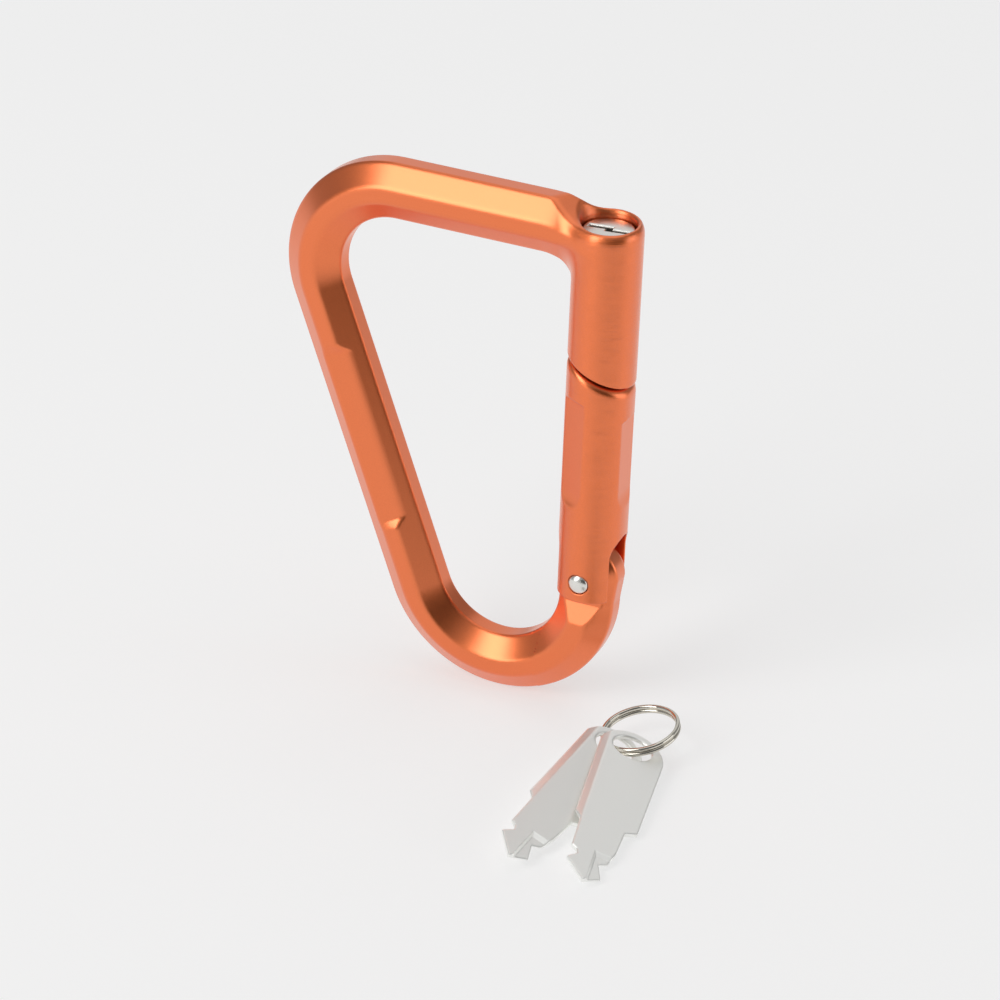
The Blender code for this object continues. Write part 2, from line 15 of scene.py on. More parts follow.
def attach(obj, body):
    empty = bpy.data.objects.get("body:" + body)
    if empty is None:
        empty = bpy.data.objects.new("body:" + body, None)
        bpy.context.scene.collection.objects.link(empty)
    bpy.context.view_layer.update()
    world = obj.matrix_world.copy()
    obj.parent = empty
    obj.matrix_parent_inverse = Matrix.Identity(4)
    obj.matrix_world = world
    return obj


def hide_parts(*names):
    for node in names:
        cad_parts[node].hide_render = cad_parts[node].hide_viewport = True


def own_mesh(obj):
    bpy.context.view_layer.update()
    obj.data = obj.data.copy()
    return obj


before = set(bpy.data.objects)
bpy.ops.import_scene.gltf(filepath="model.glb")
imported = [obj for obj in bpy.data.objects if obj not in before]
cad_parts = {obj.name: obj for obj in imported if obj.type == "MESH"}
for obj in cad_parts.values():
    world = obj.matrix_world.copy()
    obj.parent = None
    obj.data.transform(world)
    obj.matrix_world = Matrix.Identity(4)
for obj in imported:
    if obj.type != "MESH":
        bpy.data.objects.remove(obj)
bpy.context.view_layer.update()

MM = 0.001
SEAT = Vector((-25.0, 0.0, 93.4))  # this point of the standing frame is the row frame's origin


def row_point(x, y, z):
    """A point of the standing frame, in metres in the row frame."""
    return (Vector((x, y, z)) - SEAT) * MM


# ---- Rounded distance functions ----

def smooth_max(a, b, k):
    """The larger of two distances, with a rounded edge where they meet."""
    near = np.maximum(k - np.abs(a - b), 0.0) / k
    return np.maximum(a, b) + near * near * k / 4


def smooth_min(a, b, k):
    return -smooth_max(-a, -b, k)


BLOCK, BLOCK_REACH = 6, 1.35  # cells along a block, and how near the surface its middle lies, in blocks


def surface_mesh(distance, low, high, pitch):
    """Points, quads and normals of the surface where distance(x, y, z) is 0, one point for each crossed cell.

    The distance is first taken at each block's middle, and then at every cell of the blocks near the surface.
    """
    counts = [int(math.ceil((b - a) / pitch)) + 2 for a, b in zip(low, high)]
    counts = [-(-c // BLOCK) * BLOCK for c in counts]
    axes = [low[i] - pitch + pitch * np.arange(counts[i], dtype=np.float32) for i in range(3)]
    middles = [a.reshape(-1, BLOCK).mean(axis=1) for a in axes]
    rough = distance(*np.meshgrid(*middles, indexing="ij"))
    near = np.abs(rough) < BLOCK * pitch * BLOCK_REACH
    values = rough
    for axis in range(3):
        values = values.repeat(BLOCK, axis=axis)
        near = near.repeat(BLOCK, axis=axis)
    index = np.nonzero(near)
    values = values.astype(np.float32)
    values[index] = distance(axes[0][index[0]], axes[1][index[1]], axes[2][index[2]])
    inside = values < 0
    corners = [(i, j, k) for i in (0, 1) for j in (0, 1) for k in (0, 1)]
    size = [c - 1 for c in counts]

    def part(array, corner):
        return array[tuple(slice(c, c + n) for c, n in zip(corner, size))]

    total = sum(part(inside, c).astype(np.int8) for c in corners)
    cells = np.stack(np.nonzero((total > 0) & (total < 8)), axis=1)
    at = {c: values[tuple((cells + c).T)] for c in corners}
    found = np.zeros((len(cells), 3))
    crossings = np.zeros(len(cells))
    for first in corners:
        for axis in range(3):
            if first[axis]:
                continue
            second = tuple(1 if i == axis else first[i] for i in range(3))
            a, b = at[first], at[second]
            crossed = (a < 0) != (b < 0)
            share = np.where(crossed, a / np.where(crossed, a - b, 1.0), 0.0)
            point = np.tile(np.array(first, float), (len(cells), 1))
            point[:, axis] += share
            found += point * crossed[:, None]
            crossings += crossed
    points = (cells + found / crossings[:, None]) * pitch + [a[0] for a in axes]
    for _ in range(3):
        normals, value = gradient(distance, points)
        points -= normals * np.clip(value, -pitch, pitch)[:, None]
    number = -np.ones(size, np.int64)
    number[tuple(cells.T)] = np.arange(len(cells))
    quads = []
    for axis in range(3):
        u, v = [(axis + 1) % 3, (axis + 2) % 3]
        step = [0, 0, 0]
        step[axis] = 1
        a = part(inside, (0, 0, 0))
        b = part(inside, step)
        edges = np.stack(np.nonzero(a != b), axis=1)
        edges = edges[(edges[:, u] > 0) & (edges[:, v] > 0)]
        du, dv = np.eye(3, dtype=int)[u], np.eye(3, dtype=int)[v]
        quad = np.stack([number[tuple((edges - s).T)] for s in (du * 0, du, du + dv, dv)], axis=1)
        flip = ~a[tuple(edges.T)]
        quad[flip] = quad[flip][:, ::-1]
        quads.append(quad)
    quads = np.concatenate(quads)
    return points, quads[(quads >= 0).all(axis=1)], gradient(distance, points)[0]


def gradient(distance, points):
    """The unit gradient at points, and the distance there divided by the gradient's length."""
    step = 0.01
    x, y, z = points.T
    slope = np.stack([distance(x + step, y, z) - distance(x - step, y, z),
                      distance(x, y + step, z) - distance(x, y - step, z),
                      distance(x, y, z + step) - distance(x, y, z - step)], axis=1) / (2 * step)
    length = np.maximum(np.linalg.norm(slope, axis=1), 0.2)
    return slope / length[:, None], distance(x, y, z) / length


def place(name, points, faces, material, body, node, normals=None):
    """A piece from standing-frame points that rides on a body and stands for a CAD node."""
    mesh = bpy.data.meshes.new(name)
    rows = (np.asarray(points) - np.array(SEAT)) * MM
    mesh.from_pydata(rows.tolist(), [], [list(f) for f in faces])
    mesh.shade_smooth()
    if normals is not None:
        mesh.normals_split_custom_set_from_vertices(np.asarray(normals).tolist())
    obj = bpy.data.objects.new(name, mesh)
    bpy.context.scene.collection.objects.link(obj)
    mesh.materials.append(material)
    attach(obj, body)
    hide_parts(node)
    return obj


def place_solid(name, distance, low, high, pitch, material, body, node):
    points, faces, normals = surface_mesh(distance, low, high, pitch)
    return place(name, points, faces, material, body, node, normals)


# ---- Frame: loop, barrel and hinge tongue ----

CORNER_X, CORNER_Z, CORNER_RADIUS = -42.0, 82.0, 17.0
BOTTOM_RADIUS = 18.4
REACH, HALF_THICKNESS = 5.6, 5.05  # the bar's section, from its centreline
FRONT_FLAT, SIDE_FLAT = 1.65, 1.95
BOTTOM_X, BOTTOM_Z = -BOTTOM_RADIUS, BOTTOM_RADIUS + REACH
BAR_EDGE = 0.45
UPPER_X, UPPER_Z = -30, 60  # the barrel's end of the top bar lies past both
LEG_X, LEG_Z = -9, 45  # the hinge's end of the bar lies past one and below the other

BARREL_RADIUS, RIM_TOP, RIM_ROUND = 6.5, 102.0, 3.0
CUT_HEIGHT, CUT_SLOPE = 72.5, 0.41
CUT_LENGTH = math.hypot(1, CUT_SLOPE)
BORE_RADIUS, LIP_RADIUS, LIP_BOTTOM = 5.5, 5.1, 97.5
RIM_CONE_BOTTOM, RIM_CONE_SLOPE = 100.9, 0.5
BARREL_BLEND, SCOOP_BLEND = 3.0, 1.4  # roundings where the bar and the scoop run into the barrel
RIM_LEAN, SCOOP_LEAN = 0.06, 0.36  # how much the rim and the scoop rise towards +Y
SCOOP_X, SCOOP_Y, SCOOP_Z = -11.9, -4.0, 104.55  # where the scoop starts on the near side
SCOOP_SLOPE, SCOOP_FLOOR = 0.55, 101.5

PIVOT_HEIGHT = 29.2
CROWN_RADIUS = 5.3  # the tongue's top about the pivot, where the plunger rests with the gate shut
CROWN_RISE, CROWN_OPEN = 1.1, 28  # how far it rises over the gate's swing
CROWN_DROP, CROWN_BACK, CROWN_SPAN = 0.65, 48, 42  # its fall to the bar's inner side
CROWN_FRONT = 40  # degrees over which it rises to the bar's outer side
LEG_OUT, LEG_IN = 0.7, 0.15  # how much the bar widens towards the pivot, on its outer and inner side
TONGUE_HALF = 3.35
SHOULDER_TOP, SHOULDER_FOOT = 23.6, 19.3
WEB_X, WEB_RADIUS = -12.4, 6.0
WEB_Z = CORNER_Z + CORNER_RADIUS - REACH - WEB_RADIUS
WEB_FADE = 0.35  # how fast the web's end sinks into the barrel below it


def spine_direction():
    """The spine's outward normal, from the two bends that it is tangent to."""
    run = Vector((BOTTOM_X - CORNER_X, BOTTOM_Z - CORNER_Z))
    angle = math.atan2(run.y, run.x) - math.acos((CORNER_RADIUS - BOTTOM_RADIUS) / run.length)
    return math.cos(angle), math.sin(angle)


OUT_X, OUT_Z = spine_direction()
SPINE_X, SPINE_Z = CORNER_X + CORNER_RADIUS * OUT_X, CORNER_Z + CORNER_RADIUS * OUT_Z
SPINE_END = (BOTTOM_X + BOTTOM_RADIUS * OUT_X, BOTTOM_Z + BOTTOM_RADIUS * OUT_Z)
SPINE_LENGTH = math.hypot(SPINE_END[0] - SPINE_X, SPINE_END[1] - SPINE_Z)
RECESS_START, RECESS_END, RECESS_RAMP = 0.175, 0.79, 0.03
RECESS_EDGE, RECESS_DEPTH, RECESS_LEAN = 1.9, 0.3, 0.19


def bar_offset(x, z):
    """How far a point is outward of the loop's centreline, and its place along the spine from 0 to 1."""
    share = ((z - SPINE_Z) * OUT_X - (x - SPINE_X) * OUT_Z) / SPINE_LENGTH
    spine = (x - CORNER_X) * OUT_X + (z - CORNER_Z) * OUT_Z - CORNER_RADIUS
    corner = np.hypot(x - CORNER_X, z - CORNER_Z) - CORNER_RADIUS
    bottom = np.hypot(x - BOTTOM_X, z - BOTTOM_Z) - BOTTOM_RADIUS
    bottom = np.where((z > BOTTOM_Z) & (x > BOTTOM_X), x, bottom)
    offset = np.where(share < 0, corner, np.where(share > 1, bottom, spine))
    top = (x >= CORNER_X) & (z >= CORNER_Z)
    return np.where(top, z - CORNER_Z - CORNER_RADIUS, offset), share


def bevel_plane(u, y):
    """Distance past the sloped plane between the bar's front face and its outer or inner side."""
    run, rise = REACH - FRONT_FLAT, HALF_THICKNESS - SIDE_FLAT
    length = math.hypot(run, rise)
    return (rise * (np.abs(u) - REACH) + run * (np.abs(y) - SIDE_FLAT)) / length


def loop_distance(x, y, z):
    """The octagonal bar, with the spine's leaning recess, and the web that turns it into the barrel."""
    u, share = bar_offset(x, z)
    web = np.where(z > WEB_Z, np.hypot(x - WEB_X, z - WEB_Z) - WEB_RADIUS, x - WEB_X - WEB_RADIUS)
    inner = np.where(x > WEB_X, web, z - CORNER_Z - CORNER_RADIUS + REACH)
    top = (x > CORNER_X) & (z > UPPER_Z)
    depth_in = np.where(top, inner - np.maximum(WEB_Z - z, 0.0) * WEB_FADE, u + REACH)
    ramp_in = (share - RECESS_START) / RECESS_RAMP
    ramp_out = (RECESS_END - share) / RECESS_RAMP
    ramp = smooth_max(smooth_min(smooth_min(ramp_in, ramp_out, 0.1), 1.0, 0.2), 0.0, 0.2)
    depth = ramp * (RECESS_DEPTH + RECESS_LEAN * (RECESS_EDGE - u))
    sink = np.maximum(WEB_Z - z, 0.0) * WEB_FADE
    face = np.abs(y) - HALF_THICKNESS + np.maximum(np.where(top, sink, depth), 0.0)
    bar = smooth_max(u - REACH, bevel_plane(u, y), BAR_EDGE)
    bar = smooth_max(bar, smooth_max(-depth_in, bevel_plane(REACH - depth_in, y), BAR_EDGE), BAR_EDGE)
    bar = smooth_max(bar, face, BAR_EDGE)
    stop = np.where(top, x, np.where((x > BOTTOM_X) & (z > BOTTOM_Z), z - BOTTOM_Z, -9.0))
    return np.maximum(bar, stop)


def hinge_distance(x, y, z):
    """The bar's end: it narrows at two sloped facets to the tongue, whose crown the plunger rides on."""
    offset = bar_offset(x, z)[0]
    rise = np.clip((z - BOTTOM_Z) / (PIVOT_HEIGHT - BOTTOM_Z), 0, 1)
    leg = np.where(x > 0, x - REACH - LEG_OUT * rise, -x - REACH - LEG_IN * rise)
    angle = np.degrees(np.arctan2(-x, np.maximum(z - PIVOT_HEIGHT, 1e-3)))
    right = CROWN_RADIUS + np.sin(np.radians(np.clip(-angle, 0, CROWN_FRONT) * 90 / CROWN_FRONT)) ** 2
    left = CROWN_RADIUS + CROWN_RISE * np.clip(angle / CROWN_OPEN, 0, 1)
    left = left - CROWN_DROP * np.clip((angle - CROWN_BACK) / CROWN_SPAN, 0, 1)
    crown = np.hypot(x, z - PIVOT_HEIGHT) - np.where(angle < 0, right, left)
    rim = np.where(z > PIVOT_HEIGHT, crown, np.where(z > BOTTOM_Z, leg, np.abs(offset) - REACH))
    bar = smooth_max(rim, bevel_plane(REACH + rim, y), BAR_EDGE)
    bar = smooth_max(bar, np.abs(y) - HALF_THICKNESS, BAR_EDGE)
    slope = (SHOULDER_TOP - SHOULDER_FOOT) / (HALF_THICKNESS - TONGUE_HALF)
    facet = (slope * (np.abs(y) - TONGUE_HALF) + z - SHOULDER_TOP) / math.hypot(slope, 1)
    return smooth_max(bar, np.minimum(facet, np.abs(y) - TONGUE_HALF), 0.2)


def frame_distance(x, y, z):
    loop = loop_distance(x, y, z)
    radius = np.hypot(x, y)
    barrel = smooth_max(radius - BARREL_RADIUS, z - RIM_TOP - RIM_LEAN * y, RIM_ROUND)
    body = smooth_min(loop, barrel, BARREL_BLEND)
    ramp = SCOOP_Z - SCOOP_SLOPE * (x - SCOOP_X) + SCOOP_LEAN * (y - SCOOP_Y)
    dip = smooth_max(ramp, SCOOP_FLOOR + RIM_LEAN * y, SCOOP_BLEND)
    body = smooth_max(body, (z - dip) / math.hypot(SCOOP_SLOPE, 1), 0.5)
    cut = (CUT_HEIGHT - CUT_SLOPE * x - z) / CUT_LENGTH
    cone = LIP_RADIUS + np.maximum(z - RIM_CONE_BOTTOM, 0) * RIM_CONE_SLOPE
    hole = np.where(z < LIP_BOTTOM, radius - BORE_RADIUS, (radius - cone) / 1.15)
    bored = smooth_max(smooth_max(body, cut, 0.4), -hole, 0.45)
    upper = (x > UPPER_X) & (z > UPPER_Z)
    leg = (x > LEG_X) & (z < LEG_Z)
    return np.where(upper, bored, np.where(leg, hinge_distance(x, y, z), loop))


# ---- Gate ----

GATE_TOP, GATE_BOTTOM = CUT_HEIGHT - 0.6, 25.3
FLAT_DISTANCE, FLAT_BOTTOM = 5.79, 46.6
FLATS = ((0, 63.0), (120, 66.6), (240, 66.6))  # direction in degrees, top height
SLOT_HALF, SLOT_CROWN = 3.7, 34.6
GATE_NOSE_ROUND, HEEL_ROUND = 1.7, 0.5
FLAT_END_SLOPE = 2.6  # how steeply a flat runs out at its foot
CUP_RADIUS, CUP_FLOOR = 4.9, 64.9
PLUNGER_BORE, PLUNGER_BORE_TOP = 2.25, 58.4
RIVET_HEAD, RIVET_SEAT, RIVET_APEX = 1.96, 5.9, 7.0
RIVET_SHANK, RIVET_SINK_GAP = 1.45, 0.06


def gate_distance(x, y, z):
    radius = np.hypot(x, y)
    top = (z - GATE_TOP + CUT_SLOPE * x) / CUT_LENGTH
    gate = smooth_max(radius - BARREL_RADIUS, top, GATE_NOSE_ROUND)
    for direction, height in FLATS:
        a = math.radians(direction)
        past = x * math.cos(a) + y * math.sin(a) - FLAT_DISTANCE
        end = (z - FLAT_BOTTOM + FLAT_END_SLOPE * past) / 2.8
        pocket = smooth_min(past, end, 0.5)
        pocket = smooth_min(pocket, height + 0.7 * past - z, 0.25)
        gate = smooth_max(gate, pocket, 0.15)
    heel = np.hypot(x, np.minimum(z - PIVOT_HEIGHT, 0.0)) - BARREL_RADIUS
    gate = smooth_max(smooth_max(gate, heel, HEEL_ROUND), GATE_BOTTOM - z, HEEL_ROUND)
    slot = np.hypot(y, np.maximum(z - SLOT_CROWN, 0.0)) - SLOT_HALF
    gate = smooth_max(gate, -slot, 0.35)
    cup = np.maximum(radius - CUP_RADIUS, CUP_FLOOR - z)
    bore = np.maximum(radius - PLUNGER_BORE, z - PLUNGER_BORE_TOP)
    gate = smooth_max(gate, -np.minimum(cup, bore), 0.3)
    pivot = np.hypot(x, z - PIVOT_HEIGHT)
    sink = np.maximum(pivot - RIVET_HEAD - RIVET_SINK_GAP, RIVET_SEAT - np.abs(y))
    return smooth_max(gate, -np.minimum(sink, pivot - RIVET_SHANK), 0.2)


# ---- Lock core ----

CORE_RADIUS, CORE_HEAD, CORE_BOTTOM, CORE_SHOULDER, CORE_TOP = 5.2, 4.8, 89.0, 97.2, 100.0
KEYWAY_HALF, KEYWAY_WIDTH, KEYWAY_TURN = 3.8, 1.0, math.radians(8.6)
KEYWAY_OFFSET = 0.5  # from the plug's middle to each leg's
KEYWAY_OVERLAP, KEYWAY_FLOOR = 0.55, 93.5


def core_distance(x, y, z):
    """The plug: its Z-shaped keyway is two legs side by side, joined at the middle."""
    radius = np.hypot(x, y)
    head = smooth_max(radius - CORE_HEAD, z - CORE_TOP, 0.3)
    plug = np.minimum(head, np.maximum(radius - CORE_RADIUS, z - CORE_SHOULDER))
    u = x * math.cos(KEYWAY_TURN) + y * math.sin(KEYWAY_TURN)
    v = y * math.cos(KEYWAY_TURN) - x * math.sin(KEYWAY_TURN)
    left = np.maximum(np.abs(v - KEYWAY_OFFSET) - KEYWAY_WIDTH / 2,
                      np.maximum(-KEYWAY_HALF - u, u - KEYWAY_OVERLAP))
    right = np.maximum(np.abs(v + KEYWAY_OFFSET) - KEYWAY_WIDTH / 2,
                       np.maximum(u - KEYWAY_HALF, -KEYWAY_OVERLAP - u))
    keyway = np.maximum(np.minimum(left, right), KEYWAY_FLOOR - z)
    return smooth_max(np.maximum(plug, CORE_BOTTOM - z), -keyway, 0.45)


# ---- Keys ----

KEY_HALF = 0.5  # half the plate's thickness
KEY_EYE = (3.1, 3.8)
KEY_HEAD_CENTRE, KEY_HEAD_RADIUS = (2.2, -0.2), 6.75
KEYS = (("key_1", (17.79, -18.36, 4.5), (-77.65, 4.0, -17.6)),
        ("key_2", (14.14, -18.53, 3.85), (-92.2, 1.2, -20.9)))
FLANK, FLANK_SLOPE = -4.7, 0.3
FOLD_START, FOLD_SIDE, FOLD_DROP = 32.6, -0.6, 0.5
KEY_BODIES = {"key_1": "key_one", "key_2": "key_two"}


def arc(centre, radius, start, end, steps):
    angles = [math.radians(start + (end - start) * i / steps) for i in range(steps + 1)]
    return [(centre[0] + radius * math.cos(a), centre[1] + radius * math.sin(a)) for a in angles]


def key_outline():
    """The key seen from above, from its eye: +X runs to the tip, +Y to its right."""
    near = arc(KEY_HEAD_CENTRE, KEY_HEAD_RADIUS, 180, 90, 14)
    blade = [(23.6, 5.9), (24.8, 3.7), (31.5, 3.3), (34.6, 2.5), (35.6, 1.0), (39.3, 2.2), (41.5, -1.0),
             (36.9, -5.0), (35.1, -3.4), (34.0, -3.8), (33.2, -4.9), (25.0, -5.0), (23.2, -6.3)]
    far = arc(KEY_HEAD_CENTRE, KEY_HEAD_RADIUS, 244.6, 180, 10)[:-1]
    return near + blade + far


def outline_distance(points, u, v):
    """Signed distance to a closed outline, negative inside."""
    best = np.full(np.shape(u), 1e9)
    inside = np.zeros(np.shape(u), bool)
    for (ax, ay), (bx, by) in zip(points, points[1:] + points[:1]):
        dx, dy = bx - ax, by - ay
        length = dx * dx + dy * dy
        if length < 1e-9:
            continue
        t = np.clip(((u - ax) * dx + (v - ay) * dy) / length, 0, 1)
        best = np.minimum(best, np.hypot(u - ax - t * dx, v - ay - t * dy))
        if dy:
            inside ^= ((ay > v) != (by > v)) & (u < dx * (v - ay) / dy + ax)
    return np.where(inside, -best, best)


def key_distance(u, v, w):
    rim = outline_distance(key_outline(), u, v)
    face = w - KEY_HALF
    flank = (face + FLANK_SLOPE * (FLANK - v)) / math.hypot(FLANK_SLOPE, 1)
    drop = smooth_min(u - FOLD_START, (v - FOLD_SIDE) * 2.0, 0.2)
    fold = w - KEY_HALF + FOLD_DROP * np.clip(drop, 0, 1)
    top = smooth_max(smooth_max(face, flank, 0.12), fold, 0.1)
    plate = smooth_max(smooth_max(rim, top, 0.3), -KEY_HALF - w, 0.3)
    long, wide = KEY_EYE
    hole = (1 - np.hypot(u / long, v / wide)) * min(long, wide)
    return smooth_max(plate, hole, 0.45)


def build_key(name, eye, angles, material):
    heading, pitch, roll = (math.radians(a) for a in angles)
    turn = Matrix.Rotation(heading, 3, "Z") @ Matrix.Rotation(pitch, 3, "Y") @ Matrix.Rotation(roll, 3, "X")
    points, faces, normals = surface_mesh(key_distance, (-5.4, -7.4, -1.0), (42.3, 7.4, 1.0), 0.16)
    turn = np.array(turn)
    place(name + "_plate", points @ turn.T + np.array(eye), faces, material, KEY_BODIES[name], name,
          normals @ turn.T)


# ---- Turned pieces and wire ----

def lathe(profile, sides):
    """Points and faces of a turned skin, open at both ends, from (radius, height) points."""
    points, faces = [], []
    for r, z in profile:
        for i in range(sides):
            a = 2 * math.pi * i / sides
            points.append((r * math.cos(a), r * math.sin(a), z))
    for row in range(len(profile) - 1):
        for i in range(sides):
            j = (i + 1) % sides
            faces.append((row * sides + i, row * sides + j, (row + 1) * sides + j, (row + 1) * sides + i))
    return points, faces


WIRE_DOME = ((0.8, 0.35), (0.5, 0.8))  # how far past the wire's end and how wide, in shares of its radius


def wire(path, radius, sides):
    """Points and faces of a round wire with domed ends."""
    path = [Vector(p) for p in path]
    first, last = (path[0] - path[1]).normalized(), (path[-1] - path[-2]).normalized()
    stops = [(path[0] + first * radius * past, width) for past, width in WIRE_DOME]
    stops += [(p, 1.0) for p in path]
    stops += [(path[-1] + last * radius * past, width) for past, width in reversed(WIRE_DOME)]
    points, faces, side = [], [], None
    for i, (at, scale) in enumerate(stops):
        along = (stops[min(i + 1, len(stops) - 1)][0] - stops[max(i - 1, 0)][0]).normalized()
        side = along.orthogonal() if side is None else side
        side = (side - along * side.dot(along)).normalized()
        up = along.cross(side)
        for k in range(sides):
            a = 2 * math.pi * k / sides
            points.append(at + radius * scale * (math.cos(a) * side + math.sin(a) * up))
    for row in range(len(stops) - 1):
        for k in range(sides):
            m = (k + 1) % sides
            faces.append((row * sides + k, row * sides + m, (row + 1) * sides + m, (row + 1) * sides + k))
    faces.append(tuple(range(sides))[::-1])
    faces.append(tuple(range(len(points) - sides, len(points))))
    return points, faces


RING_CENTRE, RING_RADIUS = (16.68, -11.84, 4.88), 7.23
RING_TILT, RING_RISE = math.radians(13.5), math.radians(30.6)
RING_WIRE, RING_PITCH = 0.45, 0.92
RING_END = math.radians(240)  # where the wire's ends lie
RING_STEP = 0.07  # the share of a turn between them, in which the wire climbs


def build_ring(material):
    axis = Vector((math.sin(RING_RISE), -math.cos(RING_RISE), 0))
    turn = Matrix.Rotation(RING_TILT, 3, axis)
    steps = 240
    path = []
    for i in range(steps + 1):
        turns = (2 - RING_STEP) * i / steps
        climb = min(max((turns - 1 + RING_STEP) / RING_STEP, 0.0), 1.0)
        height = RING_PITCH * (climb * climb * (3 - 2 * climb) - 0.5)
        a = RING_END + 2 * math.pi * turns
        local = Vector((RING_RADIUS * math.cos(a), RING_RADIUS * math.sin(a), height))
        path.append(turn @ local + Vector(RING_CENTRE))
    points, faces = wire(path, RING_WIRE, 20)
    place("ring_wire", points, faces, material, "key_set", "split_ring")


SPRING_RADIUS, SPRING_WIRE, SPRING_TURNS = 1.68, 0.22, 9
SPRING_LOW, SPRING_HIGH = 43.37, 57.75


def build_spring(material):
    """The gate's spring, a fixed coil that rides with the gate; in the real gate the plunger shortens it from
    below as the gate opens.
    """
    steps = 36 * SPRING_TURNS
    turn = 2 * math.pi * SPRING_TURNS
    rise = SPRING_HIGH - SPRING_LOW
    path = [(SPRING_RADIUS * math.cos(turn * i / steps), SPRING_RADIUS * math.sin(turn * i / steps),
             SPRING_LOW + rise * i / steps) for i in range(steps + 1)]
    points, faces = wire(path, SPRING_WIRE, 12)
    coil = place("coil_spring", points, faces, material, "gate", "gate_spring")
    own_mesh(coil)


def build_rivet(material):
    """A rivet with a domed head at each end."""
    rise = RIVET_APEX - RIVET_SEAT - 0.1
    dome = [(RIVET_HEAD * math.cos(a), RIVET_SEAT + 0.1 + rise * math.sin(a))
            for a in (math.radians(89.5 * i / 16) for i in range(17))]
    half = [(1.15, RIVET_SEAT + 0.05), (RIVET_HEAD - 0.1, RIVET_SEAT + 0.02)] + dome
    profile = [(r, -h) for r, h in reversed(half)] + half
    points, faces = lathe(profile, 64)
    faces += [tuple(range(64))[::-1], tuple(range(len(points) - 64, len(points)))]
    points = [(x, -z, y + PIVOT_HEIGHT) for x, y, z in points]
    place("rivet", points, faces, material, "gate", "gate_rivet")


# ---- Materials ----

def new_material(name, colour, roughness, metallic=1.0, coat=0.0, coat_tint=(1, 1, 1)):
    material = bpy.data.materials.new(name)
    material.use_nodes = True
    shader = material.node_tree.nodes["Principled BSDF"]
    shader.inputs["Base Color"].default_value = (*colour, 1)
    shader.inputs["Roughness"].default_value = roughness
    shader.inputs["Metallic"].default_value = metallic
    shader.inputs["Coat Weight"].default_value = coat
    shader.inputs["Coat Roughness"].default_value = 0.25
    shader.inputs["Coat Tint"].default_value = (*coat_tint, 1)
    return material


def add_grain(material, grain, strength, depth, colour_spread=0.0, roughness_spread=0.0):
    """Fine blasted or plated grain: grain is its size in millimetres and depth its height."""
    nodes, links = material.node_tree.nodes, material.node_tree.links
    shader = nodes["Principled BSDF"]
    place_node = nodes.new("ShaderNodeTexCoord")
    noise = nodes.new("ShaderNodeTexNoise")
    noise.inputs["Scale"].default_value = 1 / (grain * MM)
    noise.inputs["Detail"].default_value = 3
    links.new(place_node.outputs["Object"], noise.inputs["Vector"])
    bump = nodes.new("ShaderNodeBump")
    bump.inputs["Strength"].default_value = strength
    bump.inputs["Distance"].default_value = depth * MM
    links.new(noise.outputs["Fac"], bump.inputs["Height"])
    links.new(bump.outputs["Normal"], shader.inputs["Normal"])
    if colour_spread:
        colour = tuple(shader.inputs["Base Color"].default_value)
        mix = nodes.new("ShaderNodeMix")
        mix.data_type = "RGBA"
        mix.inputs[6].default_value = [c * (1 - colour_spread) for c in colour[:3]] + [1]
        mix.inputs[7].default_value = [min(c * (1 + colour_spread), 1) for c in colour[:3]] + [1]
        links.new(noise.outputs["Fac"], mix.inputs[0])
        links.new(mix.outputs[2], shader.inputs["Base Color"])
    if roughness_spread:
        level = shader.inputs["Roughness"].default_value
        spread = nodes.new("ShaderNodeMapRange")
        spread.inputs["To Min"].default_value = level - roughness_spread
        spread.inputs["To Max"].default_value = level + roughness_spread
        links.new(noise.outputs["Fac"], spread.inputs["Value"])
        links.new(spread.outputs["Result"], shader.inputs["Roughness"])
    return material


def add_turning(material, around, pitch, depth):
    """Fine turned grooves where the turned attribute is 1, each about as long as around, in millimetres."""
    nodes, links = material.node_tree.nodes, material.node_tree.links
    shader = nodes["Principled BSDF"]
    grain = shader.inputs["Normal"].links[0].from_node
    place_node = nodes.new("ShaderNodeTexCoord")
    stretch = nodes.new("ShaderNodeMapping")
    stretch.inputs["Scale"].default_value = (1 / (around * MM), 1 / (around * MM), 1 / (pitch * MM))
    links.new(place_node.outputs["Object"], stretch.inputs["Vector"])
    noise = nodes.new("ShaderNodeTexNoise")
    noise.inputs["Scale"].default_value = 1.0
    noise.inputs["Detail"].default_value = 1.5
    links.new(stretch.outputs["Vector"], noise.inputs["Vector"])
    turned = nodes.new("ShaderNodeAttribute")
    turned.attribute_name = "turned"
    bump = nodes.new("ShaderNodeBump")
    bump.inputs["Distance"].default_value = depth * MM
    links.new(turned.outputs["Fac"], bump.inputs["Strength"])
    links.new(noise.outputs["Fac"], bump.inputs["Height"])
    links.new(bump.outputs["Normal"], grain.inputs["Normal"])
    return material


def standing_points(obj):
    """A piece's points as columns x, y and z, in millimetres of the standing frame."""
    return (np.array([v.co for v in obj.data.vertices]) / MM + np.array(SEAT)).T


def mark_turned(obj, share):
    """Stores how far each point belongs to a turned surface, from 0 to 1."""
    turned = obj.data.attributes.new("turned", "FLOAT", "POINT")
    turned.data.foreach_set("value", np.asarray(share, np.float32))


